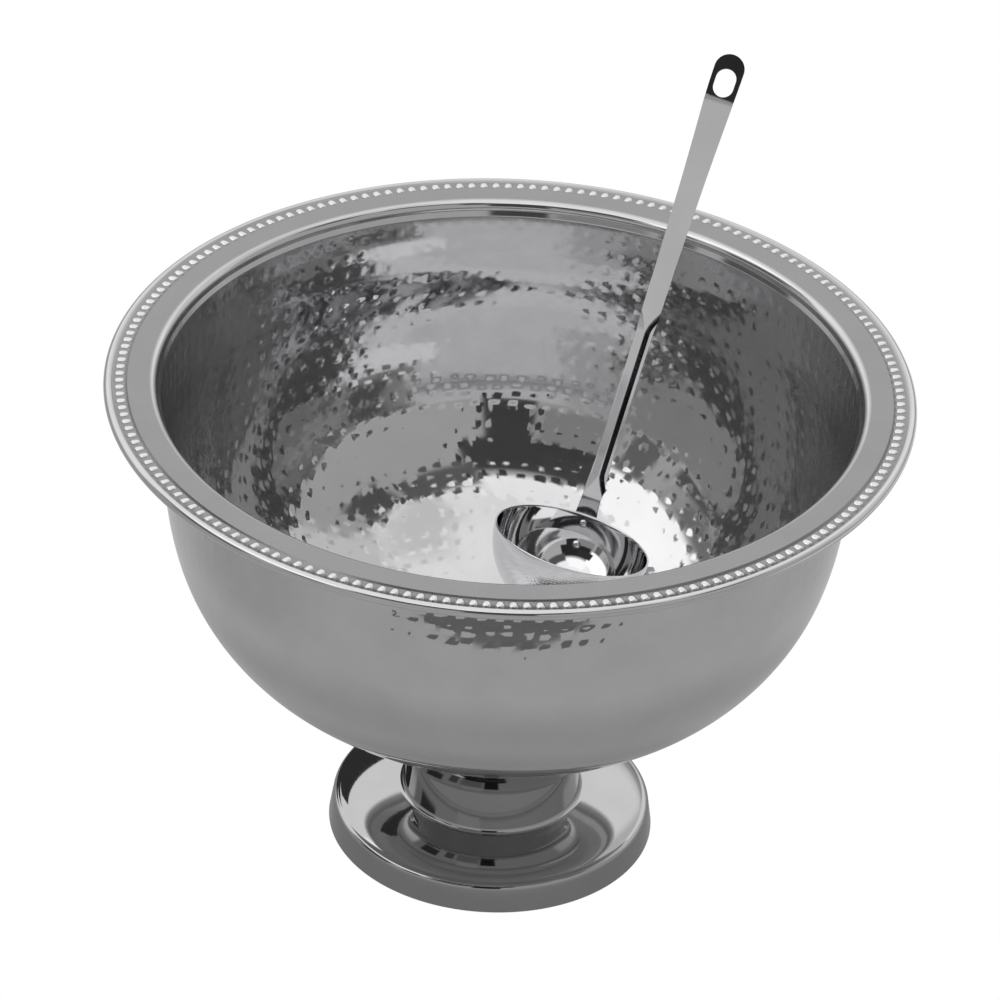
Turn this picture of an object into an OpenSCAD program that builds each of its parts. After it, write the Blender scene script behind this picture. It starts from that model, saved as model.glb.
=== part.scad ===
// Footed punch bowl with a beaded rim, and the ladle that stands in it.
// Origin: centre of the foot on the table. +Z up. Millimetres.

/* [Bowl] */
// Outer radius of the curled rim
rim_r = 184; // [160:1:220]
// Height of the flat flange above the table
flange_z = 242.2; // [235:0.1:255]
// Inner radius of the smooth collar under the flange
collar_r = 159.6; // [159:0.1:161]
// Height of the smooth collar below the flange
collar_h = 6.5; // [6:0.5:9]
// Outer radius of the wall at the belly
belly_r = 156.2; // [154:0.1:157]
// Height of the belly, the widest ring of the hammered wall
belly_z = 200.9; // [198:0.1:204]
// Outer radius of the curve between belly and bottom
side_r = 105.5; // [100:0.5:110]
// Sheet thickness of the bowl
sheet = 1.0; // [0.8:0.1:1.4]

/* [Beaded border] */
// Number of beads round the rim
bead_count = 192; // [120:1:200]
// Radius of the circle that the beads stand on
bead_ring_r = 176.7; // [176.2:0.1:177]
// Width of one bead along the rim
bead_w = 3.4; // [2.6:0.1:3.8]

/* [Pedestal] */
// Radius of the foot on the table
foot_r = 76.1; // [70:0.1:85]
// Height of the foot's upright edge
foot_edge_h = 11.1; // [9:0.1:13]
// Radius of the neck at its waist
neck_r = 39.8; // [36:0.1:44]
// Sheet thickness of the pedestal
foot_sheet = 1.2; // [1:0.1:1.6]

/* [Fastening] */
// Radius of the threaded stud
stud_r = 4; // [3:0.5:5]
// Width of the nut across its corners
nut_corner_w = 15; // [13:0.5:18]

/* [Ladle] */
// Outer radius of the cup
cup_r = 37.5; // [34:0.5:38]
// Depth of the cup
cup_depth = 30; // [26:0.5:31]
// Distance from the cup's mouth to the top end of the handle
handle_len = 231.5; // [200:0.5:240]
// Width of the handle round its hanging hole
handle_top_w = 14.4; // [13:0.1:16]
// Outward lean of the handle from the cup's axis
handle_lean = 8.1; // [6:0.1:9]

/* [Hidden] */
$fn = 96;

// A point on a circle, and a row of points along an arc of it
function on_circle(c, r, a) = [c[0] + r * cos(a), c[1] + r * sin(a)];
function arc(c, r, a0, a1, n) = [for (i = [0 : n]) on_circle(c, r, a0 + (a1 - a0) * i / n)];

// --- Bowl section: three tangent arcs from the middle of the bottom up to the belly ---
belly_turn = -15.5;            // angle at which the belly arc hands over to the side arc
side_turn = -60;               // angle at which the side arc hands over to the bottom arc
belly_c = [0, belly_z];
side_c = on_circle(belly_c, belly_r - side_r, belly_turn);
bottom_r = side_r + side_c[0] / cos(side_turn);
bottom_c = [0, side_c[1] - side_c[0] * tan(side_turn)];
function bowl_curve(t) = concat(
    arc(bottom_c, bottom_r - t, -90, side_turn, 12),
    arc(side_c, side_r - t, side_turn, belly_turn, 14),
    arc(belly_c, belly_r - t, belly_turn, 0, 5));

// Rim: collar, rounded shoulder, flat flange, bead channel and curled edge
shoulder_r = 4;
collar_z = flange_z - collar_h;
wall_top_r = collar_r - 1.6;   // inner radius of the hammered wall just below the collar
channel_in = bead_ring_r - 2.6;
channel_z = flange_z - 3.8;
curl_r = 2.4;
curl_c = [rim_r - curl_r, flange_z - 2.7];

module bowl_shell() {
    shoulder_c = [collar_r + shoulder_r, flange_z - shoulder_r];
    inner = concat(
        bowl_curve(sheet),
        [[wall_top_r, collar_z - 0.8], [collar_r, collar_z]],
        arc(shoulder_c, shoulder_r, 180, 90, 6),
        [[channel_in - 1, flange_z], [channel_in, channel_z]],
        arc(curl_c, curl_r, 207, -140, 18));
    outer = concat(
        bowl_curve(0),
        [[wall_top_r + sheet, collar_z - 1], [collar_r + sheet, collar_z - 0.2]],
        arc(shoulder_c, shoulder_r - sheet, 180, 90, 5),
        [[channel_in - 1.9, flange_z - sheet], [channel_in - 0.9, channel_z - sheet],
         [curl_c[0] - curl_r + 0.6, channel_z - sheet]],
        arc(curl_c, curl_r - sheet, 205, -140, 14));
    color([0.72, 0.72, 0.73])
        rotate_extrude() polygon(concat(inner, [for (i = [len(outer) - 1 : -1 : 0]) outer[i]]));
}

// Beads: short barrels laid along the radius, strung on a flat-sided wire
bead_l = 4.8;
wire_w = 1.6;

module bead_border() {
    bead_r = bead_w / 2;
    color([0.8, 0.8, 0.8]) translate([0, 0, channel_z + 0.1 + bead_r]) union() {
        rotate_extrude() translate([bead_ring_r - wire_w / 2, -wire_w / 2]) square(wire_w);
        for (i = [0 : bead_count - 1])
            rotate([0, 0, 360 * i / bead_count]) translate([bead_ring_r - bead_l / 2, 0, 0])
                rotate([0, 90, 0]) cylinder(r = bead_r, h = bead_l, $fn = 16);
    }
}

// --- Pedestal: foot, waisted neck and flared lip, one sheet thick ---
flare_r = 40;
flare_end = 125;               // angle on the flare's arc where its lip ends
neck_foot_z = 19.9;            // height of the foot's upper face where the neck starts
waist_z = 40;
foot_corner_r = 2.8;
neck_fillet_r = 3;

function pedestal_curve(t) = let(
        corner_c = [foot_r - 1.7 - foot_corner_r, foot_edge_h],
        fillet_c = [neck_r + 1.2 + neck_fillet_r, neck_foot_z + neck_fillet_r],
        flare_c = [neck_r + flare_r, waist_z])
    concat(
        [[foot_r - t, 0]],
        arc(corner_c, foot_corner_r - t, 10, 88, 6),
        [[(foot_r + neck_r) / 2 + 4, 17.4 - t]],
        arc(fillet_c, neck_fillet_r + t, -94, -176, 5),
        arc(flare_c, flare_r + t, 180, flare_end, 12));

module pedestal() {
    outside = pedestal_curve(0);
    inside = pedestal_curve(foot_sheet);
    color([0.6, 0.6, 0.62])
        rotate_extrude() polygon(concat(outside, [for (i = [len(inside) - 1 : -1 : 0]) inside[i]]));
}

// --- Seat dish: follows the underside of the bowl and closes the flare ---
dish_gap = 0.1;
dish_sheet = 1.2;
dish_edge_r = 56;
stud_flange_r = 9;
stud_flange_h = 1.3;
function dish_arc(t, r0, r1, n) = let(r = bottom_r + dish_gap + t)
    arc(bottom_c, r, -90 + asin(r0 / r), -90 + asin(r1 / r), n);

module seat_dish() {
    top = dish_arc(0, stud_flange_r + 1, dish_edge_r, 8);
    under = dish_arc(dish_sheet, stud_flange_r + 1, dish_edge_r, 8);
    color([0.55, 0.55, 0.57])
        rotate_extrude() polygon(concat(top, [for (i = [len(under) - 1 : -1 : 0]) under[i]]));
}

// --- Fastening stack under the middle of the bowl ---
bowl_bottom_z = bottom_c[1] - bottom_r;
washer_z = bowl_bottom_z - dish_gap - dish_sheet - 0.2;
washer_h = 2;
spring_h = 2;
nut_h = 6.5;
stud_len = 18;

module weld_stud() {
    color([0.6, 0.6, 0.6]) union() {
        translate([0, 0, bowl_bottom_z - 0.05 - stud_flange_h])
            cylinder(r = stud_flange_r, h = stud_flange_h);
        translate([0, 0, bowl_bottom_z - 0.05 - stud_len]) cylinder(r = stud_r, h = stud_len);
    }
}

module ring(outer_r, inner_r, h) {
    difference() {
        cylinder(r = outer_r, h = h);
        translate([0, 0, -1]) cylinder(r = inner_r, h = h + 2);
    }
}

module flat_washer() {
    color([0.66, 0.66, 0.66])
        translate([0, 0, washer_z - washer_h]) ring(16, stud_r + 0.3, washer_h);
}

module spring_washer() {
    gap_w = 1.2;
    color([0.4, 0.4, 0.42]) translate([0, 0, washer_z - washer_h - spring_h]) difference() {
        ring(stud_r + 3.4, stud_r + 0.2, spring_h);
        translate([0, -gap_w / 2, -1]) cube([20, gap_w, spring_h + 2]);
    }
}

module hex_nut() {
    color([0.66, 0.66, 0.66]) translate([0, 0, washer_z - washer_h - spring_h - nut_h]) difference() {
        cylinder(r = nut_corner_w / 2, h = nut_h, $fn = 6);
        translate([0, 0, -1]) cylinder(r = stud_r + 0.05, h = nut_h + 2);
    }
}

// --- Ladle: drawn upright about the cup's axis, handle on the +X side, then set in the bowl ---
cup_mouth = [32.2, 56.0, 120.9];   // centre of the cup's mouth as it stands in the bowl
lean_heading = 41;                 // compass direction in which the cup's axis leans
lean = 17.5;                       // lean of the cup's axis from the vertical
handle_turn = 37.5;                // turn of the handle about the cup's axis
cup_sheet = 1.0;
cup_floor_round = 12;
tab_t = 1.5;
tab_gap = 0.1;
rivet_r = 1.2;
rivet_head_r = 1.95;
rivet_drops = [4, 14.4];           // distances of the two rivets below the mouth

module as_it_stands() {
    translate(cup_mouth) rotate([0, 0, lean_heading]) rotate([0, lean, 0])
        rotate([0, 0, handle_turn]) children();
}

// Outline of the cup's wall: a ball with its bottom flattened by a rounded floor
function cup_curve(t) = let(
        fr = cup_floor_round,
        fc = [sqrt(pow(cup_r - fr, 2) - pow(cup_depth - fr, 2)), fr - cup_depth],
        turn = atan2(fc[1], fc[0]))
    concat(arc([0, 0], cup_r - t, 0, turn, 9), arc(fc, fr - t, turn, -90, 5), [[0, t - cup_depth]]);

// Rivets and their holes lie along the ball's radius
module at_rivets() {
    for (drop = rivet_drops) rotate([0, asin(drop / cup_r), 0]) rotate([0, 90, 0]) children();
}

module ladle_cup() {
    outside = cup_curve(0);
    inside = cup_curve(cup_sheet);
    color([0.7, 0.7, 0.72]) as_it_stands() difference() {
        rotate_extrude() polygon(concat(outside, [for (i = [len(inside) - 1 : -1 : 0]) inside[i]]));
        at_rivets() translate([0, 0, cup_r - 4]) cylinder(r = rivet_r, h = 6, $fn = 24);
    }
}

// Handle stations, measured along the handle from the cup's mouth
hinge_z = 6;                       // height where the handle starts its lean
rib_start = 8;
rib_end = 107;
strap_t = 1.6;
bend_s = 209;                      // where the hanging end tips back
end_tip = 17;                      // angle by which it tips
hole_w = 9.7;
hole_l = 13.6;
hole_s = handle_len - 14;

module along_handle() {
    translate([cup_r + tab_gap + tab_t / 2, 0, hinge_z]) rotate([0, handle_lean, 0])
        translate([0, 0, -hinge_z]) children();
}

// Lower half: a ridge pressed up out of the strip, with a flat edge on each side
module handle_rib() {
    edge = 4;                      // half width of the strip beside the ridge
    slope_w = 2.1;                 // width of each slope of the ridge
    crest = 0.2;                   // half width of its top
    front = strap_t / 2 - 0.1;     // front of the flat edges, against the back of the strap
    rib_t = 1.4;
    translate([0, 0, rib_start]) linear_extrude(rib_end - rib_start) polygon([
        [front, -edge], [front, -slope_w], [-strap_t / 2, -crest],
        [-strap_t / 2, crest], [front, slope_w], [front, edge],
        [front + rib_t, edge], [front + rib_t, slope_w - 0.6],
        [-strap_t / 2 + rib_t + 0.3, 0], [front + rib_t, 0.6 - slope_w], [front + rib_t, -edge]]);
}

// A flat sheet in the strip's own plane, from an outline of [distance, half width] points
module flat_strip(stations) {
    rotate([0, -90, 0]) translate([0, 0, -strap_t / 2]) linear_extrude(strap_t)
        polygon(concat([for (p = stations) [p[0], -p[1]]],
                       [for (i = [len(stations) - 1 : -1 : 0]) stations[i]]));
}

// Root above the cup, narrowing to the ridge, and the strap that widens again above it
end_r = handle_top_w / 2;
module handle_strap() {
    flat_strip([[6, 4.6], [10, 4.3], [20, 0.3]]);
    flat_strip([[92, 0.3], [100, 1.8], [rib_end, 4.6], [128, 4.75], [170, 5.6],
                [190, 6.3], [bend_s + 0.2, end_r - 0.35]]);
}

// Round end with an oval hanging hole, tipped back from the strap
module handle_end() {
    translate([0, 0, bend_s]) rotate([0, end_tip, 0]) translate([0, 0, -bend_s])
        rotate([0, -90, 0]) translate([0, 0, -strap_t / 2]) linear_extrude(strap_t) difference() {
            union() {
                polygon([[bend_s - 0.2, 0.35 - end_r], [handle_len - end_r, -end_r],
                         [handle_len - end_r, end_r], [bend_s - 0.2, end_r - 0.35]]);
                translate([handle_len - end_r, 0]) circle(r = end_r);
            }
            for (side = [-1, 1])
                translate([hole_s + side * (hole_l - hole_w) / 2, 0]) circle(r = hole_w / 2);
            translate([hole_s - (hole_l - hole_w) / 2, -hole_w / 2]) square([hole_l - hole_w, hole_w]);
        }
}

// Tab: a patch of a slightly larger ball and of the cylinder above it, pressed against the cup's wall
module handle_tab() {
    tab_r = cup_r + tab_gap;
    low_s = -19;
    intersection() {
        union() {
            difference() {
                sphere(r = tab_r + tab_t);
                sphere(r = tab_r);
                translate([-60, -60, 0]) cube([120, 120, 60]);
            }
            ring_h = 13;
            ring(tab_r + tab_t, tab_r, ring_h);
        }
        rotate([0, 90, 0]) rotate([0, 0, 180]) linear_extrude(60) union() {
            polygon([[low_s + 5.6, -5.6], [0, -5.3], [13, -4.5], [13, 4.5], [0, 5.3], [low_s + 5.6, 5.6]]);
            translate([low_s + 5.6, 0]) circle(r = 5.6);
        }
    }
}

module ladle_handle() {
    color([0.75, 0.75, 0.76]) as_it_stands() difference() {
        union() {
            handle_tab();
            along_handle() {
                handle_rib();
                handle_strap();
                handle_end();
            }
        }
        at_rivets() translate([0, 0, cup_r - 1]) cylinder(r = rivet_r, h = 6, $fn = 24);
    }
}

module ladle_rivets() {
    head_h = 1.1;
    seat = cup_r - cup_sheet;
    shank_h = cup_sheet + tab_gap + tab_t;
    color([0.6, 0.6, 0.62]) as_it_stands() at_rivets() rotate_extrude($fn = 32)
        polygon(concat(
            [for (i = [0 : 5]) [rivet_head_r * sin(90 * i / 5), seat - 0.12 - head_h * cos(90 * i / 5)]],
            [[rivet_r - 0.05, seat - 0.12], [rivet_r - 0.05, seat + shank_h + 0.05]],
            [for (i = [5 : -1 : 0])
                [rivet_head_r * sin(90 * i / 5), seat + shank_h + 0.05 + head_h * cos(90 * i / 5)]]));
}

bowl_shell();
bead_border();
pedestal();
seat_dish();
weld_stud();
flat_washer();
spring_washer();
hex_nut();
ladle_cup();
ladle_handle();
ladle_rivets();
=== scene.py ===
import math

import bpy
import numpy as np
from mathutils import Matrix, Vector


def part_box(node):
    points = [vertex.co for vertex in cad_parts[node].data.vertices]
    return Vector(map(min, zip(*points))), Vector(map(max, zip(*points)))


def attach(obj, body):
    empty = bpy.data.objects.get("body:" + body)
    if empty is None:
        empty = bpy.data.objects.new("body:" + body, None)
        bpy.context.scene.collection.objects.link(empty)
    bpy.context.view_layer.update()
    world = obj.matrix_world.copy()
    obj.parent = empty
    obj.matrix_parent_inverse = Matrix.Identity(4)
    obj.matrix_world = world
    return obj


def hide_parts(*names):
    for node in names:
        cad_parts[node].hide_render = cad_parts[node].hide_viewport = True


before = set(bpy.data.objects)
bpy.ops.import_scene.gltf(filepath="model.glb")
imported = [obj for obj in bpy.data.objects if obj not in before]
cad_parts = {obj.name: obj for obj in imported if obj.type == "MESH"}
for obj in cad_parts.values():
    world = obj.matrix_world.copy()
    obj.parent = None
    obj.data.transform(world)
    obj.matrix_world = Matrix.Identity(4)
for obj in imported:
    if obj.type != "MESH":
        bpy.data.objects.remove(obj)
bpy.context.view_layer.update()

MM = 0.001

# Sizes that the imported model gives, in millimetres
bowl_lo, bowl_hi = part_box("bowl_shell")
bead_lo, bead_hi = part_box("bead_border")
foot_lo, foot_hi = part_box("pedestal")
RIM_R = bowl_hi[0] / MM
FLANGE_Z = bowl_hi[2] / MM
BOTTOM_Z = bowl_lo[2] / MM
BEAD_OUT_R = bead_hi[0] / MM
BEAD_LOW_Z, BEAD_TOP_Z = bead_lo[2] / MM, bead_hi[2] / MM
FOOT_R = foot_hi[0] / MM


# ---------------------------------------------------------------- steps and meshes

def ramp(x, start, end):
    """0 up to start and 1 from end on, straight in between. start may be the larger of the two."""
    return np.clip((x - start) / (end - start), 0, 1)


def smooth(x, start, end):
    """A ramp that eases in and out."""
    t = ramp(x, start, end)
    return t * t * (3 - 2 * t)


def add_piece(name, verts, faces, body, node, normals, material):
    """A mesh piece from points in millimetres, riding on a body and standing for a CAD node.
    Its normals are worked out from its faces where normals is None."""
    mesh = bpy.data.meshes.new(name)
    verts = np.asarray(verts, float) * MM
    faces = [np.asarray(f, np.int32) for f in faces]
    mesh.vertices.add(len(verts))
    mesh.vertices.foreach_set("co", verts.astype(np.float32).ravel())
    loops = np.concatenate([f.ravel() for f in faces])
    sizes = np.concatenate([np.full(len(f), f.shape[1]) for f in faces])
    mesh.loops.add(len(loops))
    mesh.loops.foreach_set("vertex_index", loops)
    mesh.polygons.add(len(sizes))
    mesh.polygons.foreach_set("loop_start", np.r_[0, np.cumsum(sizes)[:-1]].astype(np.int32))
    mesh.polygons.foreach_set("use_smooth", np.ones(len(sizes), bool))
    mesh.update(calc_edges=True)
    mesh.validate()
    if normals is not None:
        mesh.normals_split_custom_set_from_vertices(np.asarray(normals, float))
    mesh.materials.append(material)
    piece = bpy.data.objects.new(name, mesh)
    bpy.context.scene.collection.objects.link(piece)
    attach(piece, body)
    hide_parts(node)
    return piece


def arc(centre, radius, a0, a1, step, least=6):
    """Points along an arc, at most step millimetres apart; angles in degrees."""
    n = max(least, int(math.ceil(abs(math.radians(a1 - a0)) * abs(radius) / step)))
    a = np.radians(np.linspace(a0, a1, n + 1))
    return np.c_[centre[0] + radius * np.cos(a), centre[1] + radius * np.sin(a)]


def rounded(points, radii, steps):
    """The polyline with each inner corner rounded by its radius, in so many steps."""
    out = [np.asarray(points[0], float)]
    for i in range(1, len(points) - 1):
        before, corner, after = (np.asarray(points[k], float) for k in (i - 1, i, i + 1))
        back_len, ahead_len = np.linalg.norm(before - corner), np.linalg.norm(after - corner)
        back, ahead = (before - corner) / back_len, (after - corner) / ahead_len
        half = math.acos(max(-1.0, min(1.0, float(back @ ahead)))) / 2
        if radii[i] <= 0 or half > math.radians(89.5):
            out.append(corner)
            continue
        # a corner near its neighbours gets a smaller radius
        reach = min(radii[i] / math.tan(half), 0.49 * back_len, 0.49 * ahead_len)
        radius = reach * math.tan(half)
        centre = corner + (back + ahead) / np.linalg.norm(back + ahead) * radius / math.sin(half)
        start, end = corner + back * reach - centre, corner + ahead * reach - centre
        turn = math.atan2(start[0] * end[1] - start[1] * end[0], float(start @ end))
        for t in np.linspace(0, turn, steps + 1):
            c, s = math.cos(t), math.sin(t)
            out.append(centre + np.array([c * start[0] - s * start[1], s * start[0] + c * start[1]]))
    out.append(np.asarray(points[-1], float))
    return np.array(out)


def tangent_normals(path):
    """Unit normals of a profile, to the left of its direction, halfway between its segments'."""
    segments = np.diff(path, axis=0)
    segments /= np.linalg.norm(segments, axis=1)[:, None]
    direction = np.vstack([segments[0], segments[1:] + segments[:-1], segments[-1]])
    direction /= np.linalg.norm(direction, axis=1)[:, None]
    return np.c_[-direction[:, 1], direction[:, 0]]


def stitch(start_a, n_a, start_b, n_b):
    """Triangles between two closed rings whose points are evenly spaced from angle 0. Each ring's
    edges get a triangle to the nearest point of the other ring."""
    mid_a = (np.arange(n_a) + 0.5) / n_a
    mid_b = (np.arange(n_b) + 0.5) / n_b + 1e-9
    tip_b = np.searchsorted(mid_b, mid_a)
    tip_a = np.searchsorted(mid_a, mid_b)
    a, b = np.arange(n_a), np.arange(n_b)
    on_a = np.c_[start_a + (a + 1) % n_a, start_a + a, start_b + tip_b % n_b]
    on_b = np.c_[start_b + b, start_b + (b + 1) % n_b, start_a + tip_a % n_a]
    return np.vstack([on_a, on_b])


def fan(centre, start, n, flip):
    """Triangles between a centre point and a closed ring of n points."""
    i = np.arange(n)
    tri = np.c_[np.full(n, centre), start + i, start + (i + 1) % n]
    return tri[:, ::-1] if flip else tri


def grid_faces(rows, columns):
    """Quads of a grid of points that were made row by row."""
    i, j = np.meshgrid(np.arange(rows - 1), np.arange(columns - 1), indexing="ij")
    k = (i * columns + j).ravel()
    return np.c_[k, k + 1, k + columns + 1, k + columns]


def revolve(path, columns, closed=True):
    """Points, normals, triangles and each ring's first point of a profile turned about Z. A point
    on the axis becomes one vertex. The path goes round with the solid on its right, so its left
    normals point out of the metal."""
    path = np.asarray(path, float)
    if closed:
        side = tangent_normals(np.vstack([path[-1], path, path[0]]))[1:-1]
    else:
        side = tangent_normals(path)
    a = 2 * math.pi * np.arange(columns) / columns
    verts, norms, faces, starts = [], [], [], []
    total = 0
    for (r, z), (nr, nz) in zip(path, side):
        if r < 1e-6:
            verts.append([[0, 0, z]])
            norms.append([[0, 0, math.copysign(1, nz)]])
        else:
            verts.append(np.c_[r * np.cos(a), r * np.sin(a), np.full(columns, z)])
            norms.append(np.c_[nr * np.cos(a), nr * np.sin(a), np.full(columns, nz)])
        starts.append(total)
        total += len(verts[-1])
    order = list(range(len(path))) + ([0] if closed else [])
    for i, j in zip(order[:-1], order[1:]):
        if len(verts[i]) == 1:
            faces.append(fan(starts[i], starts[j], columns, False))
        elif len(verts[j]) == 1:
            faces.append(fan(starts[j], starts[i], columns, True))
        else:
            faces.append(stitch(starts[i], columns, starts[j], columns))
    return np.vstack(verts), np.vstack(norms), np.vstack(faces), starts


# ---------------------------------------------------------------- materials

NOISE_SPAN = (0.3, 0.7)                 # what most values of a noise lie between
FINE_GRAIN, SPUN_RINGS = 900.0, 1500.0  # sizes of the two finest patterns, as noise scales
BUMP_STRENGTH = 0.35
TINT = 0.04                             # how much smudges change the tone, as a share of it
BLUE_CAST = 1.012                       # blue against red and green
FINE_GLOSS = 0.01                       # how much the grain changes the roughness
PAINTED_SHADE_TONE = 0.12                      # what is left of the tone where the mesh's "shade" is 1: the full depth of the painted shade

# Only the flat of the flange is satin, above this height and between these radii, in metres
SATIN_ABOVE = (FLANGE_Z - 5.0) * MM
SATIN_FROM_R, SATIN_TO_R = 0.1626, 0.1806
SATIN_SOFT_UP, SATIN_SOFT_IN, SATIN_SOFT_OUT = 0.0003, 0.0008, 0.0012
SATIN_GREY, SATIN_ROUGH = 0.25, 0.24
SATIN_FINE_GLOSS, SATIN_SMUDGE_GLOSS = 0.03, 0.02


def steel(name, grey, rough, grain, smudge_size=0.03, metal=1.0, turned=0.0, satin=False, painted_shade=False):
    """Bare stainless: mottled gloss, faint tone changes and a fine polishing grain.
    rough is the range of its roughness, grain the grain's depth in millimetres, and smudge_size
    is in metres. metal below 1 leaves a dull haze in the reflections, turned adds the rings that
    spinning leaves, satin dulls the flange, and the last flag paints shade: it darkens the tone
    where the mesh's "shade" attribute marks it."""
    material = bpy.data.materials.new(name)
    material.use_nodes = True
    nodes, links = material.node_tree.nodes, material.node_tree.links
    bsdf = nodes["Principled BSDF"]
    bsdf.inputs["Metallic"].default_value = metal
    coord = nodes.new("ShaderNodeTexCoord")

    def noise(scale, detail, vector=None):
        node = nodes.new("ShaderNodeTexNoise")
        node.inputs["Scale"].default_value = scale
        node.inputs["Detail"].default_value = detail
        node.inputs["Roughness"].default_value = 0.55
        links.new(vector or coord.outputs["Object"], node.inputs["Vector"])
        return node.outputs["Fac"]

    def remap(value, lo, hi, out_lo, out_hi):
        node = nodes.new("ShaderNodeMapRange")
        node.inputs["From Min"].default_value = lo
        node.inputs["From Max"].default_value = hi
        node.inputs["To Min"].default_value = out_lo
        node.inputs["To Max"].default_value = out_hi
        links.new(value, node.inputs["Value"])
        return node.outputs["Result"]

    def math_node(operation, a, b=None):
        node = nodes.new("ShaderNodeMath")
        node.operation = operation
        for socket, value in zip(node.inputs, (a, b)):
            if isinstance(value, (int, float)):
                socket.default_value = value
            elif value is not None:
                links.new(value, socket)
        return node.outputs["Value"]

    def radius_and_height():
        split = nodes.new("ShaderNodeSeparateXYZ")
        links.new(coord.outputs["Object"], split.inputs[0])
        xx = math_node("MULTIPLY", split.outputs["X"], split.outputs["X"])
        yy = math_node("MULTIPLY", split.outputs["Y"], split.outputs["Y"])
        return math_node("SQRT", math_node("ADD", xx, yy)), split.outputs["Z"]

    def step_at(value, edge, soft, before, after):
        return remap(value, edge - soft, edge + soft, before, after)

    smudge = noise(1 / smudge_size, 4.0)
    fine = noise(FINE_GRAIN, 3.0)
    tone = remap(smudge, *NOISE_SPAN, grey * (1 - TINT), grey * (1 + TINT))
    gloss = math_node("ADD", remap(smudge, *NOISE_SPAN, *rough),
                      remap(fine, *NOISE_SPAN, -FINE_GLOSS, FINE_GLOSS))
    height = fine

    # painted shade: the tone darkens where the mesh's "shade" attribute is set
    if painted_shade:
        shade = nodes.new("ShaderNodeAttribute")
        shade.attribute_name = "shade"
        tone = math_node("MULTIPLY", tone, remap(shade.outputs["Fac"], 0.0, 1.0, 1.0, PAINTED_SHADE_TONE))
    if satin:
        radius, up = radius_and_height()
        ring = math_node("MULTIPLY", step_at(radius, SATIN_FROM_R, SATIN_SOFT_IN, 0.0, 1.0),
                         step_at(radius, SATIN_TO_R, SATIN_SOFT_OUT, 1.0, 0.0))
        dull = math_node("MULTIPLY", ring, step_at(up, SATIN_ABOVE, SATIN_SOFT_UP, 0.0, 1.0))
        tone = math_node("MULTIPLY", tone, remap(dull, 0.0, 1.0, 1.0, SATIN_GREY / grey))
        dull_gloss = math_node("ADD", remap(fine, *NOISE_SPAN, SATIN_ROUGH - SATIN_FINE_GLOSS,
                                            SATIN_ROUGH + SATIN_FINE_GLOSS),
                               remap(smudge, *NOISE_SPAN, -SATIN_SMUDGE_GLOSS, SATIN_SMUDGE_GLOSS))
        mix = nodes.new("ShaderNodeMix")
        links.new(dull, mix.inputs[0])
        links.new(gloss, mix.inputs[2])
        links.new(dull_gloss, mix.inputs[3])
        gloss = mix.outputs[0]
    if turned > 0:
        radius, up = radius_and_height()
        around = nodes.new("ShaderNodeCombineXYZ")
        links.new(radius, around.inputs[0])
        links.new(up, around.inputs[1])
        rings = noise(SPUN_RINGS, 2.0, around.outputs["Vector"])
        height = math_node("ADD", fine, math_node("MULTIPLY", rings, turned))

    colour = nodes.new("ShaderNodeCombineColor")
    links.new(tone, colour.inputs[0])
    links.new(tone, colour.inputs[1])
    links.new(math_node("MULTIPLY", tone, BLUE_CAST), colour.inputs[2])
    links.new(colour.outputs["Color"], bsdf.inputs["Base Color"])
    links.new(gloss, bsdf.inputs["Roughness"])
    bump = nodes.new("ShaderNodeBump")
    bump.inputs["Strength"].default_value = BUMP_STRENGTH
    bump.inputs["Distance"].default_value = grain * MM
    links.new(height, bump.inputs["Height"])
    links.new(bump.outputs["Normal"], bsdf.inputs["Normal"])
    return material


HAMMERED = steel("hammered_steel", 0.55, (0.045, 0.075), grain=0.006, metal=0.88, satin=True)
BEADS = steel("bead_steel", 0.60, (0.16, 0.24), grain=0.010, smudge_size=0.008)
FOOT = steel("foot_steel", 0.42, (0.035, 0.07), grain=0.004, turned=0.5)
PLAIN = steel("plain_steel", 0.50, (0.25, 0.38), grain=0.03, smudge_size=0.012)
FASTENER = steel("fastener_steel", 0.55, (0.18, 0.30), grain=0.02, smudge_size=0.006)
CUP = steel("cup_steel", 0.64, (0.03, 0.06), grain=0.004, smudge_size=0.02)
# the handle's steel carries painted shade where its mesh marks it
HANDLE = steel("handle_steel", 0.64, (0.05, 0.09), grain=0.004, smudge_size=0.02, painted_shade=True)
RIVET = steel("rivet_steel", 0.58, (0.08, 0.14), grain=0.006, smudge_size=0.004)


# ---------------------------------------------------------------- bowl

SHEET = 1.0
FOLD_R = 0.8    # how softly the sheet is folded at the rim's corners

# The wall's outside: an arc round the bottom, one up the side, and one about the axis at the belly
BELLY_R, BELLY_Z = 156.2, 200.9
SIDE_R = 105.5
BELLY_TURN, SIDE_TURN = -15.5, -60.0
side_c = (math.cos(math.radians(BELLY_TURN)) * (BELLY_R - SIDE_R),
          BELLY_Z + math.sin(math.radians(BELLY_TURN)) * (BELLY_R - SIDE_R))
BOTTOM_R = SIDE_R + side_c[0] / math.cos(math.radians(SIDE_TURN))
bottom_c = (0.0, BOTTOM_Z + BOTTOM_R)

# The rim: collar, shoulder, flat flange, bead channel and curled edge
COLLAR_R, COLLAR_H, SHOULDER_R = 159.6, 6.5, 4.0
WALL_TOP_R, WALL_TOP_Z = COLLAR_R - 1.6, FLANGE_Z - COLLAR_H - 0.8
BEAD_RING_R = 176.7
CHANNEL_IN, CHANNEL_Z, CHANNEL_SLOPE = BEAD_RING_R - 2.4, FLANGE_Z - 1.1, 1.0
CURL_R, CURL_END = 2.4, -140
curl_c = (RIM_R - CURL_R, FLANGE_Z - 2.7)
RIM_COLUMNS = 540

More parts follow.
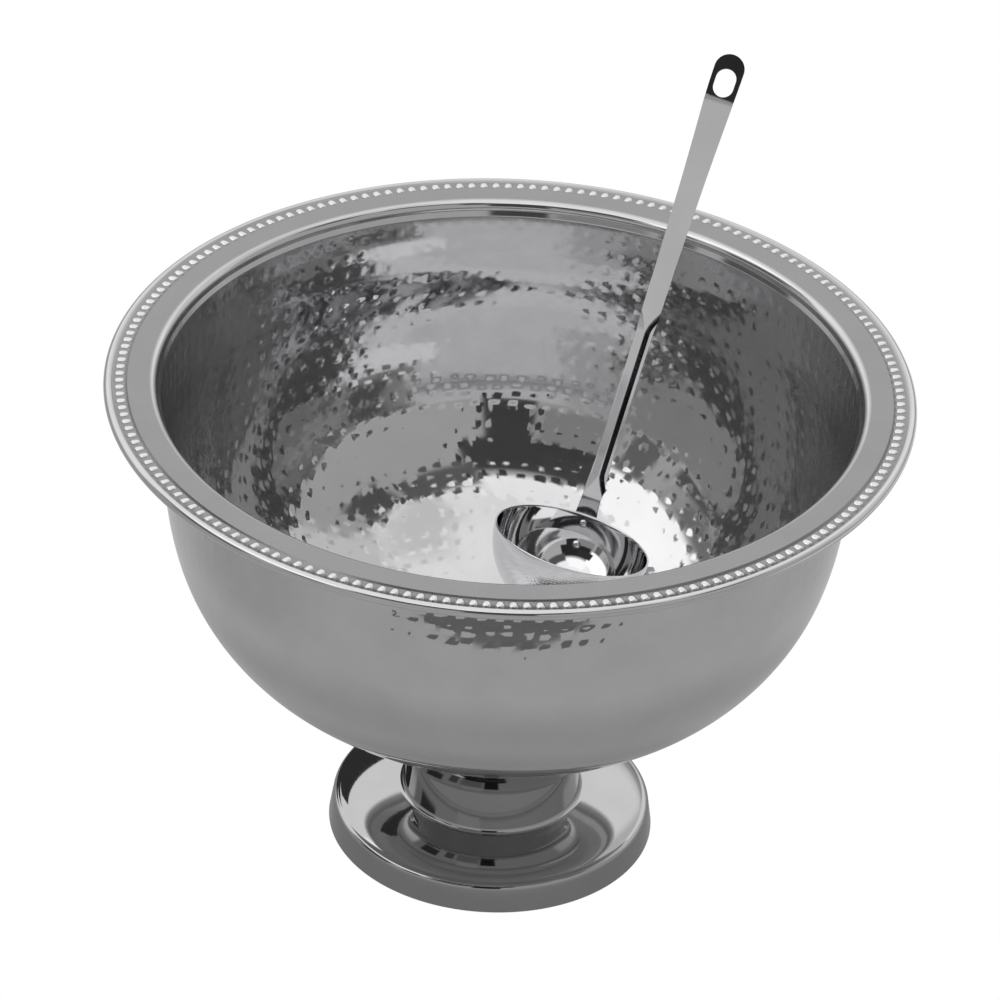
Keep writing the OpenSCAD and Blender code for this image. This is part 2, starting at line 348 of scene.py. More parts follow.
# The hammer marks: round dents in rows along the wall, each a little off its place. The top row
# is a little below the collar, where the marks fade out. The steps are the meshes' finenesses.
DENT_PITCH = 8.5
DENT_R = (2.75, 3.25)
DENT_DEPTH = (0.12, 0.20)
DENT_STRAY = 0.9
DENT_SEED = 41
TOP_ROW_DROP = 5.0
TOP_FADE = 3.0
INNER_STEP, OUTER_STEP = 1.4, 1.9

# The marks are fainter on a patch of the far wall: its place in degrees, its height, what is lost
CALM_AT, CALM_HALF, CALM_SOFT = 97.0, 19.0, 4.0
CALM_LOW, CALM_FULL = 150.0, 165.0
CALM_LOSS = 0.65

# Outside, the marks start past the foot and are faint up to the belly
FOOT_END_S, MARKS_START_S = 62.0, 68.0
FAINT_MARKS, FAINT_UP_TO, FULL_FROM = 0.12, 180.0, 210.0


def wall_stations(offset, step):
    """Stations of the hammered wall, a sheet's offset from its outside, from the middle of the
    bottom to the belly and on to the collar: radius, height, and the distance along the wall."""
    arcs = ((bottom_c, BOTTOM_R, -90.0, SIDE_TURN),
            (side_c, SIDE_R, SIDE_TURN, BELLY_TURN),
            ((0.0, BELLY_Z), BELLY_R, BELLY_TURN, 0.0))
    rows = []
    distance = 0.0
    for centre, radius, a0, a1 in arcs:
        length = math.radians(a1 - a0) * (radius - SHEET / 2)
        n = int(round(length / step))
        for i in range(n):
            a = math.radians(a0 + (a1 - a0) * i / n)
            rows.append((centre[0] + (radius - offset) * math.cos(a),
                         centre[1] + (radius - offset) * math.sin(a), distance + length * i / n))
        distance += length
    r_low, r_top = BELLY_R - offset, WALL_TOP_R + SHEET - offset
    height = WALL_TOP_Z - BELLY_Z
    n = int(round(height / step))
    for i in range(n + 1):
        t = i / n
        # the wall eases out towards the collar
        rows.append((r_low + (r_top - r_low) * t * t, BELLY_Z + height * t, distance + height * t))
    return np.array(rows)


def dent_field(s, angle, r):
    """Depth of the hammer marks at points of the wall, and its slopes along and round it. s is a
    point's distance along the wall."""
    rng = np.random.default_rng(DENT_SEED)
    wall = wall_stations(SHEET / 2, 1.0)
    length = wall[-1, 2]
    rows = int((length - TOP_ROW_DROP) / DENT_PITCH)
    depth, slope_s, slope_a = (np.zeros_like(s) for _ in range(3))
    for k in range(rows + 1):
        row_s = length - TOP_ROW_DROP - (rows - k) * DENT_PITCH
        row_r = np.interp(row_s, wall[:, 2], wall[:, 0])
        n = max(1, int(round(2 * math.pi * row_r / DENT_PITCH)))
        phase = rng.uniform(0, 1)
        stray_s, stray_a = rng.uniform(-1, 1, (2, n)) * DENT_STRAY
        size = rng.uniform(*DENT_R, n)
        deep = rng.uniform(*DENT_DEPTH, n) * (size / DENT_R[1]) ** 2
        near = np.nonzero(np.abs(s - row_s) < DENT_R[1] + DENT_STRAY)[0]
        if not len(near):
            continue
        # the nearest dent of the row, and how far each point is from its middle
        dent = np.round(angle[near] / (2 * math.pi) * n - phase).astype(int)
        middle = (dent + phase) * 2 * math.pi / n
        dent %= n
        off_s = s[near] - row_s - stray_s[dent]
        off_a = (angle[near] - middle) * r[near] - stray_a[dent]
        level = 1 - (off_s * off_s + off_a * off_a) / size[dent] ** 2
        hit = level > 0
        near, off_s, off_a, level, dent = near[hit], off_s[hit], off_a[hit], level[hit], dent[hit]
        depth[near] += deep[dent] * level ** 1.5
        steep = -3 * deep[dent] * np.sqrt(level) / size[dent] ** 2
        slope_s[near] += steep * off_s
        slope_a[near] += steep * off_a
    return depth, slope_s, slope_a


def hammered_wall(offset, step, inward):
    """One face of the dented wall as rings from the middle out: all points and normals, and each
    ring's first point and its count. inward is 1 for the bowl's inside and -1 for its outside."""
    stations = wall_stations(offset, step)
    along = np.gradient(stations[:, :2], axis=0)
    along /= np.linalg.norm(along, axis=1)[:, None]
    into = np.c_[-along[:, 1], along[:, 0]]
    counts = [1] + [max(8, int(round(2 * math.pi * r / step))) for r in stations[1:, 0]]
    ring = np.repeat(np.arange(len(stations)), counts)
    first = np.concatenate([[0], np.cumsum(counts)[:-1]])
    angle = 2 * math.pi * (np.arange(len(ring)) - first[ring]) / np.array(counts)[ring]
    r, z, s = stations[ring].T
    depth, slope_s, slope_a = dent_field(s, angle, np.maximum(r, 1e-3))
    # the marks fade out at the collar
    fade = ramp(s, stations[-1, 2], stations[-1, 2] - TOP_FADE)
    if inward > 0:
        off = np.abs((np.degrees(angle) - CALM_AT + 180) % 360 - 180)
        patch = ramp(off, CALM_HALF + CALM_SOFT, CALM_HALF - CALM_SOFT)
        fade = fade * (1 - CALM_LOSS * patch * ramp(z, CALM_LOW, CALM_FULL))
    else:
        faint = FAINT_MARKS + (1 - FAINT_MARKS) * ramp(z, FAINT_UP_TO, FULL_FROM)
        fade = fade * ramp(s, FOOT_END_S, MARKS_START_S) * faint
    depth, slope_s, slope_a = depth * fade, slope_s * fade, slope_a * fade
    # three directions at each point: into the bowl, along the wall and round it
    x, y = np.cos(angle), np.sin(angle)
    inwards = np.c_[into[ring, 0] * x, into[ring, 0] * y, into[ring, 1]]
    upwards = np.c_[along[ring, 0] * x, along[ring, 0] * y, along[ring, 1]]
    round_it = np.c_[-y, x, np.zeros_like(x)]
    verts = np.c_[r * x, r * y, z] - inwards * depth[:, None]
    norms = inwards + upwards * slope_s[:, None] + round_it * slope_a[:, None]
    norms *= inward / np.linalg.norm(norms, axis=1)[:, None]
    return verts, norms, first, counts


def rim_path():
    """The rim's profile, from the wall's inside over the flange to the curl and back below."""
    shoulder = (COLLAR_R + SHOULDER_R, FLANGE_Z - SHOULDER_R)
    # where the bead channel runs into the curled edge, on the sheet's two faces
    r_in = CURL_R - SHEET
    join = 180 - math.degrees(math.asin((CHANNEL_Z - curl_c[1]) / CURL_R))
    join_in = 180 - math.degrees(math.asin((CHANNEL_Z - SHEET - curl_c[1]) / r_in))
    under_in = CHANNEL_IN - 0.9
    # a short slope leads from the wall to the collar
    slope = [(WALL_TOP_R - 0.02, WALL_TOP_Z), (WALL_TOP_R + 0.3, WALL_TOP_Z + 0.8),
             (COLLAR_R - 0.1, shoulder[1] - 0.6), (COLLAR_R, shoulder[1])]
    channel = [(shoulder[0] + 0.3, FLANGE_Z), (CHANNEL_IN - CHANNEL_SLOPE, FLANGE_Z), (CHANNEL_IN, CHANNEL_Z),
               (curl_c[0] + CURL_R * math.cos(math.radians(join)), CHANNEL_Z)]
    channel_under = [(curl_c[0] + r_in * math.cos(math.radians(join_in)), CHANNEL_Z - SHEET),
                     (under_in, CHANNEL_Z - SHEET), (under_in - CHANNEL_SLOPE, FLANGE_Z - SHEET),
                     (shoulder[0], FLANGE_Z - SHEET)]
    collar_under = [(COLLAR_R + SHEET, shoulder[1]), (COLLAR_R + SHEET, FLANGE_Z - COLLAR_H + 0.3),
                    (WALL_TOP_R + SHEET + 0.2, WALL_TOP_Z + 0.1), (WALL_TOP_R + SHEET, WALL_TOP_Z - 0.2)]
    folds = [0, FOLD_R, FOLD_R, 0]
    return np.vstack([
        rounded(slope, folds, 4)[1:-1],
        arc(shoulder, SHOULDER_R, 180, 90, 0.5),
        rounded(channel, [0, 0.7, 0.5, 0], 5)[1:-1],
        arc(curl_c, CURL_R, join, CURL_END, 0.5),
        arc(curl_c, r_in, CURL_END, join_in, 0.6),
        rounded(channel_under, folds, 4)[1:-1],
        arc(shoulder, SHOULDER_R - SHEET, 90, 180, 0.5),
        rounded(collar_under, folds, 4)[1:-1]])


def bowl_piece():
    """The shell as one closed skin: the dented inside, the rim, and the dented outside."""
    inner_v, inner_n, inner_first, inner_counts = hammered_wall(SHEET, INNER_STEP, 1)
    outer_v, outer_n, outer_first, outer_counts = hammered_wall(0.0, OUTER_STEP, -1)
    path = rim_path()
    rim_v, rim_n, rim_f, rim_first = revolve(path, RIM_COLUMNS, closed=False)
    rim_0 = len(inner_v)
    outer_0 = rim_0 + len(rim_v)
    outer_first = outer_first + outer_0
    faces = [rim_f + rim_0, fan(0, inner_first[1], inner_counts[1], False)]
    for i in range(1, len(inner_counts) - 1):
        faces.append(stitch(inner_first[i], inner_counts[i], inner_first[i + 1], inner_counts[i + 1]))
    faces.append(stitch(inner_first[-1], inner_counts[-1], rim_0, RIM_COLUMNS))
    faces.append(stitch(rim_0 + rim_first[-1], RIM_COLUMNS, outer_first[-1], outer_counts[-1]))
    for i in range(len(outer_counts) - 2, 0, -1):
        faces.append(stitch(outer_first[i + 1], outer_counts[i + 1], outer_first[i], outer_counts[i]))
    faces.append(fan(outer_0, outer_first[1], outer_counts[1], True))
    return add_piece("bowl", np.vstack([inner_v, rim_v, outer_v]), [np.vstack(faces)], "bowl",
                     "bowl_shell", np.vstack([inner_n, rim_n, outer_n]), HAMMERED)


bowl_piece()


# ---------------------------------------------------------------- beaded border

BEAD_COUNT = 192
BEAD_W = BEAD_TOP_Z - BEAD_LOW_Z
BEAD_L = 2 * (BEAD_OUT_R - BEAD_RING_R)
BEAD_WIDEN = 1.35        # a bead's width round the rim, against its height
BEAD_SQUARENESS = 3.2    # 2 would make its outline an ellipse
BEAD_SIDES, BEAD_RINGS = 16, 11
WIRE_DROP, WIRE_R = 0.5, 0.9
bead_z = (BEAD_TOP_Z + BEAD_LOW_Z) / 2


def one_bead():
    """Points and triangles of a bead that lies along X about the origin."""
    t = np.linspace(0, math.pi, BEAD_RINGS + 2)[1:-1]
    x = -np.cos(t) * BEAD_L / 2
    thick = BEAD_W / 2 * (1 - np.abs(np.cos(t)) ** BEAD_SQUARENESS) ** (1 / BEAD_SQUARENESS)
    around = 2 * math.pi * np.arange(BEAD_SIDES) / BEAD_SIDES
    rings = [(xi, ri * BEAD_WIDEN * math.cos(a), ri * math.sin(a))
             for xi, ri in zip(x, thick) for a in around]
    tips = [(-BEAD_L / 2, 0, 0), (BEAD_L / 2, 0, 0)]
    last = (BEAD_RINGS - 1) * BEAD_SIDES
    faces = [stitch(i, BEAD_SIDES, i + BEAD_SIDES, BEAD_SIDES)[:, ::-1]
             for i in range(0, last, BEAD_SIDES)]
    faces.append(fan(len(rings), 0, BEAD_SIDES, True))
    faces.append(fan(len(rings) + 1, last, BEAD_SIDES, False))
    return np.array(rings + tips), np.vstack(faces)


def bead_border():
    """Oblong beads laid along the radius, strung on a round wire, as one piece."""
    points, triangles = one_bead()
    turn = 2 * math.pi * np.arange(BEAD_COUNT) / BEAD_COUNT
    c, s = np.cos(turn)[:, None], np.sin(turn)[:, None]
    x, y, z = points.T
    px = (BEAD_RING_R + x) * c - y * s
    py = (BEAD_RING_R + x) * s + y * c
    pz = np.broadcast_to(bead_z + z, px.shape)
    beads = np.stack([px, py, pz], 2).reshape(-1, 3)
    first = np.arange(BEAD_COUNT) * len(points)
    faces = (triangles[None] + first[:, None, None]).reshape(-1, 3)
    wire = arc((BEAD_RING_R, bead_z - WIRE_DROP), WIRE_R, 360, 0, 0.5, 12)[:-1]
    wire_v, _, wire_f, _ = revolve(wire, RIM_COLUMNS)
    return add_piece("beads", np.vstack([beads, wire_v]), [np.vstack([faces, wire_f + len(beads)])],
                     "bowl", "bead_border", None, BEADS)


bead_border()


# ---------------------------------------------------------------- pedestal

FOOT_SHEET = 1.2
FOOT_EDGE_H = 11.1
NECK_R, NECK_FOOT_Z, WAIST_Z = 39.8, 19.9, 40.0
FLARE_R, FLARE_END = 40.0, 125.0     # the arc from the waist up, and where on it the lip ends
CORNER_R, FILLET_R = 2.8, 3.0
EDGE_LEAN, NECK_SPREAD = 1.7, 1.2    # how far the edge leans in, and how far the neck spreads below
CROWN_OUT, CROWN_Z = 4.0, 17.4       # the foot's upper face at its middle
FOOT_COLUMNS = 360


def pedestal():
    """The foot and neck, one spinning that is open below."""
    corner = (FOOT_R - EDGE_LEAN - CORNER_R, FOOT_EDGE_H)
    fillet = (NECK_R + NECK_SPREAD + FILLET_R, NECK_FOOT_Z + FILLET_R)
    flare = (NECK_R + FLARE_R, WAIST_Z)

    def side(inset):
        """One face of the sheet, from the table up to the flare's lip."""
        low = arc(corner, CORNER_R - inset, 10, 88, 0.4)
        crown = np.array([(FOOT_R + NECK_R) / 2 + CROWN_OUT, CROWN_Z - inset])
        neck = arc(fillet, FILLET_R + inset, -94, -176, 0.4)
        lip = arc(flare, FLARE_R + inset, 180, FLARE_END, 1.2)
        # the foot's upper face is one slow curve between its corner and the neck's fillet
        pull = 2 * crown - (low[-1] + neck[0]) / 2
        u = np.linspace(0, 1, 18)[1:-1, None]
        top = (1 - u) ** 2 * low[-1] + 2 * u * (1 - u) * pull + u ** 2 * neck[0]
        return np.vstack([low, top, neck, lip])

    outer, inner = side(0), side(FOOT_SHEET)
    edge = [inner[0], (FOOT_R - FOOT_SHEET, 0.0), (FOOT_R, 0.0), outer[0]]
    edge = rounded(edge, [0, 0.5, 0.5, 0], 4)[1:-1]
    path = np.vstack([outer[::-1], edge[::-1], inner])
    v, n, f, _ = revolve(path, FOOT_COLUMNS)
    return add_piece("foot", v, [f], "bowl", "pedestal", n, FOOT)


pedestal()


# ---------------------------------------------------------------- ladle

# How it stands: its mouth's middle, where and how far the cup leans, and the handle's turn on it
CUP_MOUTH = (32.2, 56.0, 120.9)
LEAN_HEADING, LEAN, HANDLE_TURN = 41.0, 17.5, 37.5
CUP_R, CUP_DEPTH, CUP_SHEET, FLOOR_ROUND = 37.5, 30.0, 1.0, 12.0
CUP_COLUMNS = 216
TAB_GAP, TAB_T = 0.1, 1.5

# From the ladle's own upright frame, with its origin at the cup's mouth, to where it stands
stands = np.array(Matrix.Translation(CUP_MOUTH)
                  @ Matrix.Rotation(math.radians(LEAN_HEADING), 4, "Z")
                  @ Matrix.Rotation(math.radians(LEAN), 4, "Y")
                  @ Matrix.Rotation(math.radians(HANDLE_TURN), 4, "Z"))


def stand(points):
    """Points from the ladle's own upright frame to where it stands in the bowl."""
    return np.asarray(points, float) @ stands[:3, :3].T + stands[:3, 3]


def ladle_cup():
    """A pressed cup: a round wall, a rounded edge below it, and a flat bottom."""
    round_c = (math.sqrt((CUP_R - FLOOR_ROUND) ** 2 - (CUP_DEPTH - FLOOR_ROUND) ** 2),
               FLOOR_ROUND - CUP_DEPTH)
    turn = math.degrees(math.atan2(round_c[1], round_c[0]))

    def side(inset):
        wall = arc((0, 0), CUP_R - inset, 0, turn, 1.0)
        edge = arc(round_c, FLOOR_ROUND - inset, turn, -90, 0.8)[1:]
        bottom = [(round_c[0] * k / 6, inset - CUP_DEPTH) for k in (4, 2, 0)]
        return np.vstack([wall, edge, bottom])

    lip = arc((CUP_R - CUP_SHEET / 2, -0.02), CUP_SHEET / 2, 0, 180, 0.15)[1:-1]
    path = np.vstack([side(CUP_SHEET)[::-1], lip[::-1], side(0)])
    v, n, f, _ = revolve(path, CUP_COLUMNS, closed=False)
    return add_piece("ladle_bowl", stand(v), [f], "ladle", "ladle_cup",
                     n @ stands[:3, :3].T, CUP)


ladle_cup()

# The strip, measured along it from the cup's mouth: its tab, the bend into the handle, the place
# where it tips back, and its round end with the hanging hole
HANDLE_LEN, HANDLE_LEAN, HINGE_Z = 231.5, 8.1, 6.0
TAB_END, TAB_R = -19.0, 5.6
BEND_S, END_TIP = 209.0, 15.0
END_R, END_S = 7.2, BEND_S - 4
HOLE_W, HOLE_L, HOLE_S = 9.7, 13.6, HANDLE_LEN - 14
STRIP_T, STRIP_BEVEL = 1.45, 0.4
STRIP_COLUMNS, HOLE_RINGS, RING_SPACING = 40, 9, 0.8

# Half the strip's width at distances from the cup's mouth, between its tab and its round end
HALF_WIDTHS = (
    (TAB_END + TAB_R, TAB_R), (0, 5.3), (8, 4.7), (12, 4.55), (20, 4.25), (28, 3.95), (92, 3.95),
    (98, 4.25), (107, 4.6), (128, 4.75), (170, 5.6), (190, 6.25), (205, 6.8), (215, 7.1),
    (HANDLE_LEN - END_R, END_R),
)

# The ridge: where the flat strip narrows into it and widens out of it, and its narrow crest
RIDGE_IN_FROM, RIDGE_IN_TO, FLAT_BELOW = 8.0, 22.0, 6.6
RIDGE_OUT_FROM, RIDGE_OUT_TO, FLAT_ABOVE = 92.0, 107.0, 6.8
CREST_W = 0.12
STEEP_W, STEEP_RISE, GENTLE_W, GENTLE_RISE = 2.2, 1.7, 3.4, 0.65
# how far beside the crest the painted shade on the ridge's steep side starts, in millimetres
PAINTED_SHADE_START = 0.05


def handle_frame(s):
    """Centre of the strip at a distance s from the cup's mouth, and the direction away from the
    cup, both in the ladle's X-Z plane."""
    r = CUP_R + TAB_GAP + TAB_T / 2
    if s < 0:
        a = s / r
        return (r * math.cos(a), r * math.sin(a)), (math.cos(a), math.sin(a))
    # the bend between tab and handle is shared out over the first 12 mm, the tip's over 4 mm
    u = np.linspace(0, s, max(2, int(s * 2)))
    lean = smooth(u, 0, 2 * HINGE_Z) * HANDLE_LEAN + smooth(u, BEND_S - 1.5, BEND_S + 2.5) * END_TIP
    lean = np.radians(lean)
    step = s / (len(u) - 1)
    x = r + step * (np.sin(lean).sum() - (math.sin(lean[0]) + math.sin(lean[-1])) / 2)
    z = step * (np.cos(lean).sum() - (math.cos(lean[0]) + math.cos(lean[-1])) / 2)
    return (x, z), (math.cos(lean[-1]), -math.sin(lean[-1]))


def half_width(s):
    if s < TAB_END + TAB_R:
        return math.sqrt(max(TAB_R ** 2 - (s - TAB_END - TAB_R) ** 2, 0.0)) - 0.01
    return float(np.interp(s, *np.transpose(HALF_WIDTHS)))


def flat_width(s):
    """Half width of the raised flat: the whole strip at both ends, only the ridge's crest between."""
    below = ramp(s, RIDGE_IN_TO, RIDGE_IN_FROM) ** 1.5 * FLAT_BELOW
    above = ramp(s, RIDGE_OUT_FROM, RIDGE_OUT_TO) ** 1.6 * FLAT_ABOVE
    return float(max(below, above, CREST_W))


def strip_section(s, v):
    """Where points v (-1 to 1 across) of the strip's middle lie: out from the centre, and across."""
    y = v * half_width(s)
    # the tab follows the cup's wall
    wrap = -(y * y) / (2 * (CUP_R + TAB_GAP + TAB_T / 2)) * (1 - smooth(s, -2, 8))
    beside = np.abs(y) - flat_width(s)
    # the ridge falls steeply on one side and gently on the other
    sunk = np.where(y < 0, ramp(beside, 0, STEEP_W) * STEEP_RISE, ramp(beside, 0, GENTLE_W) * GENTLE_RISE)
    return wrap + sunk, y


def strip_rows():
    """The distances at which the strip has a row of points, closer where its section changes."""
    tab = TAB_END + (1 - np.cos(np.linspace(0, math.pi / 2, 9))) * TAB_R
    rows = np.concatenate([tab[1:], np.arange(-12, 34, 0.8), np.arange(34, 88, 3.0),
                           np.arange(88, 112, 0.6), np.arange(112, END_S - 1, 3.0), [END_S]])
    return rows[rows <= END_S]


def end_outline():
    """The edge of the round end as (distance, across), from its last straight row and back to it."""
    side = [(s, half_width(s)) for s in np.linspace(END_S, HANDLE_LEN - END_R, 20)[1:]]
    turn = np.radians(np.linspace(90, -90, 25))[1:-1]
    cap = [(HANDLE_LEN - END_R + END_R * math.cos(a), END_R * math.sin(a)) for a in turn]
    return side + cap + [(s, -w) for s, w in side[::-1]]


def hole_edge(loop):
    """The points where rays from the hole's middle to the points of a loop cross its edge."""
    straight = (HOLE_L - HOLE_W) / 2
    points = []
    for s, y in loop:
        a = math.atan2(y, s - HOLE_S)
        along, across = math.cos(a), math.sin(a)
        reach = HOLE_W / 2 / max(abs(across), 1e-9)
        if abs(reach * along) > straight:
            near = math.copysign(1, along) * straight * along
            reach = near + math.sqrt(max(near * near - straight ** 2 + (HOLE_W / 2) ** 2, 0))
        points.append((HOLE_S + reach * along, reach * across))
    return np.array(points)


def ladle_handle():
    """The strip's middle surface, which modifiers thicken and round at its edges."""
    v = np.linspace(-1, 1, STRIP_COLUMNS + 1)
    rows = strip_rows()
    points, shade = [], []
    for s in rows:
        (cx, cz), (nx, nz) = handle_frame(s)
        out, across = strip_section(s, v)
        points.append(np.c_[cx + out * nx, across, cz + out * nz])
        # painted shade: the steep side of the ridge is toned dark, for a dark line that its own reflection
        # doesn't make dark enough
        down = -across - flat_width(s)
        shade.append(((down > PAINTED_SHADE_START) & (down < STEEP_W) & (s > HINGE_Z)).astype(float))
    points = np.vstack(points)

    # the round end: rings from its outline in to the hole's edge, the first on the last row
    last_row = len(points) - len(v)
    outline = end_outline()
    base = [(END_S, vi * half_width(END_S)) for vi in v]
    loop = np.array([base[-1]] + outline + base[:-1])
    hole = hole_edge(loop)
    end = list(outline)
    for k in range(1, HOLE_RINGS + 1):
        share = (k / HOLE_RINGS) ** RING_SPACING
        end.extend(loop * (1 - share) + hole * share)
    first_ring = np.r_[last_row + STRIP_COLUMNS, len(points) + np.arange(len(outline)),
                       last_row + np.arange(STRIP_COLUMNS)]
    other_rings = len(points) + len(outline) + np.arange(HOLE_RINGS * len(loop))
    ring = np.vstack([first_ring, other_rings.reshape(HOLE_RINGS, len(loop))])
    around = np.roll(ring, -1, 1)
    end_quads = np.stack([ring[:-1], around[:-1], around[1:], ring[1:]], 2).reshape(-1, 4)
    centres = [handle_frame(s)[0] for s, _ in end]
    points = np.vstack([points, [(x, y, z) for (x, z), (_, y) in zip(centres, end)]])
    shade.append(np.zeros(len(end)))

    piece = add_piece("ladle_handle_strip", stand(points), [grid_faces(len(rows), len(v)), end_quads],
                      "ladle", "ladle_handle", None, HANDLE)
    shade = np.concatenate(shade).astype(np.float32)
    piece.data.attributes.new("shade", "FLOAT", "POINT").data.foreach_set("value", shade)
    thick = piece.modifiers.new("sheet", "SOLIDIFY")
    thick.thickness = STRIP_T * MM
    thick.offset = 0.0
    thick.use_even_offset = True
    bevel = piece.modifiers.new("edges", "BEVEL")
    bevel.width = STRIP_BEVEL * MM
    bevel.segments = 3
    bevel.limit_method = "ANGLE"
    bevel.angle_limit = math.radians(50)
    bevel.harden_normals = True
    return piece


ladle_handle()

RIVET_DROPS = (4.0, 14.4)
RIVET_R, HEAD_R, HEAD_H = 1.15, 1.95, 1.1
NEAR_GAP, FAR_GAP = 0.12, 0.05    # a round wall leaves a gap under a head's edge
RIVET_COLUMNS = 48


def ladle_rivets():
    """Two rivets with round heads, one inside the cup and one on the tab."""
    near = CUP_R - CUP_SHEET - NEAR_GAP
    far = CUP_R + TAB_GAP + TAB_T + FAR_GAP
    a = np.linspace(0, math.pi / 2, 9)
    near_head = np.c_[HEAD_R * np.sin(a), near - HEAD_H * np.cos(a)]
    far_head = np.c_[HEAD_R * np.sin(a), far + HEAD_H * np.cos(a)][::-1]
    shank = rounded([near_head[-1], (RIVET_R, near), (RIVET_R, far), far_head[0]],
                    [0, 0.05, 0.05, 0], 2)[1:-1]
    path = np.vstack([near_head, shank, far_head])[::-1]
    v, n, f, _ = revolve(path, RIVET_COLUMNS, closed=False)
    verts, norms, faces = [], [], []
    for k, drop in enumerate(RIVET_DROPS):
        turn = np.array(Matrix.Rotation(math.asin(drop / CUP_R), 3, "Y")
                        @ Matrix.Rotation(math.pi / 2, 3, "Y"))
        verts.append(stand(v @ turn.T))
        norms.append(n @ turn.T @ stands[:3, :3].T)
        faces.append(f + k * len(v))
    return add_piece("rivets", np.vstack(verts), [np.vstack(faces)], "ladle", "ladle_rivets",
                     np.vstack(norms), RIVET)


ladle_rivets()

# The metal mirrors neither the handle nor the rivets, which keeps the bowl's inside calm
for name in ("ladle_handle_strip", "rivets"):
    bpy.data.objects[name].visible_glossy = False


# ---------------------------------------------------------------- hidden stack keeps its CAD solids

for node, material in (("seat_dish", PLAIN), ("weld_stud", PLAIN), ("flat_washer", FASTENER),
                       ("spring_washer", FASTENER), ("hex_nut", FASTENER)):
    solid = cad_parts[node]
    solid.data.materials.clear()
    solid.data.materials.append(material)


# ---------------------------------------------------------------- camera

# The camera looks down on the bowl from the -Y side with a long lens
TARGET = Vector((0.0, 0.0, 0.11935))
DISTANCE, ELEVATION = 3.0188, math.radians(34.25)
ROLL, PITCH = math.radians(2.794), math.radians(0.943)
LENS, SENSOR = 234.95, 36


def add_camera():
    data = bpy.data.cameras.new("camera")
    camera = bpy.data.objects.new("camera", data)
    bpy.context.scene.collection.objects.link(camera)
    camera.location = TARGET + DISTANCE * Vector((0, -math.cos(ELEVATION), math.sin(ELEVATION)))
    aim = (TARGET - camera.location).to_track_quat("-Z", "Y").to_matrix()
    aim = aim @ Matrix.Rotation(ROLL, 3, "Z") @ Matrix.Rotation(PITCH, 3, "X")
    camera.rotation_mode = "QUATERNION"
    camera.rotation_quaternion = aim.to_quaternion()
    data.lens = LENS
    data.sensor_width = SENSOR
    data.clip_start, data.clip_end = 0.05, 60
    bpy.context.scene.camera = camera
    bpy.context.scene.view_settings.view_transform = "Standard"


add_camera()


# ---------------------------------------------------------------- studio
# The floor and the backdrop that the camera sees are plain white. What the metal mirrors is a
# tent with a light ceiling, one long soft bank behind and to the left, and dark gaps in it.
# Azimuths turn from the camera's side towards +X; all angles are in degrees.

TENT_R, FLOOR_Z = 5.0, -0.0005
SEEN_FLOOR_R, SEEN_SHELL_R = 12.0, 20.0
AMBIENT = 0.40
WALL_GLOW, CEILING_GLOW, CEILING_FROM, CEILING_SOFT = 0.55, 1.32, 60.0, 4.0
TENT_PANELS = (
    # what it is, azimuth from and to, elevation from and to, soft edge, glow
    ("back wall", 105, 265, 16, 62, 8, 0.90),
    ("back wall left", 143, 254, 21, 66, 12, 1.28),
    ("back wall high", 150, 275, 38, 66, 6, 1.32),
    ("skirt", -180, 180, -5, 7, 6, 0.36),
    ("ceiling right", 50, 120, 62, 78, 8, 0.95),
    ("wall left low", -112, -72, 14, 42, 6, 0.45),
    ("left slot", -97, -71, 15, 32, 3, 0.08),
    ("wall front left", -40, -12, 5, 18, 4, 0.64),
    ("side gap", -116, -84, 33, 41, 5, 0.20),
    ("bank", -122, -44, 43, 62, 2, 1.80),
    ("bank front", -56, 12, 60, 73, 2, 1.50),
    ("bank front end", 8, 45, 68, 76, 6, 1.30),
    ("shade left of the flag", -44, -12, 22, 42, 5, 0.32),
    ("flag arm", -41, 22, 40, 57, 2, 0.03),
    ("flag arm left", -51, -16, 46, 56, 2, 0.04),
    ("flag arm right", 16, 62, 53, 64, 3, 0.12),
    ("right slot", 66, 92, 47, 60, 4, 0.08),
    ("flag", -10, 10, 17, 44, 2, 0.03),
    ("second flag", -61, -48, 22, 42, 2, 0.16),
)
FLOOR_GLOW, FLOOR_SIDE_SOFT = 0.50, 30.0
# patches of painted light and shade on the floor that the metal mirrors
FLOOR_PATCHES = (
    # what it is, azimuth from and to, radius from and to in metres, soft edge, glow
    ("floor near the bowl", -180, 180, 0.0, 0.5, 0.10, 0.54),
    ("floor right", 70, 200, 0.55, 5.0, 0.12, 0.87),
    ("floor left", -100, -60, 0.3, 5.0, 0.10, 0.46),
    # under the bowl and at the foot: painted shadow of the bowl on the mirrored floor
    ("under the bowl", -180, 180, 0.0, 0.24, 0.10, 0.42),
    ("at the foot", -180, 180, 0.0, 0.12, 0.06, 0.32),
)
CARD_COLUMNS, CARD_TAPER = 13, 0.6    # a card's bottom edge rises by this share of it at its ends
# dark cards that the metal mirrors as painted shade on the foot and below the front rim
LOW_CARDS = (
    # what it is, azimuth from and to, radius in metres, bottom, top, glow
    ("behind the foot left", 200, 246, 0.125, 0.012, 0.07, 0.05),
    ("under the front rim", -22, 25, 0.203, 0.1695, 0.1800, 0.14),
)


def inside(x, lo, hi, soft):
    """1 between lo and hi and 0 beyond them, with edges as wide as soft."""
    return smooth(x, lo - soft / 2, lo + soft / 2) * smooth(x, hi + soft / 2, hi - soft / 2)


def turned_into(azimuth, lo, hi, soft):
    """How far each azimuth lies inside a range that may run past 180 degrees."""
    if hi - lo >= 360:
        return np.ones_like(azimuth)
    middle, half = (lo + hi) / 2, (hi - lo) / 2
    off = np.abs((azimuth - middle + 180) % 360 - 180)
    return smooth(off, half + soft / 2, half - soft / 2)


def heading(azimuth):
    """X and Y of the direction at an azimuth."""
    return np.sin(np.radians(azimuth)), -np.cos(np.radians(azimuth))


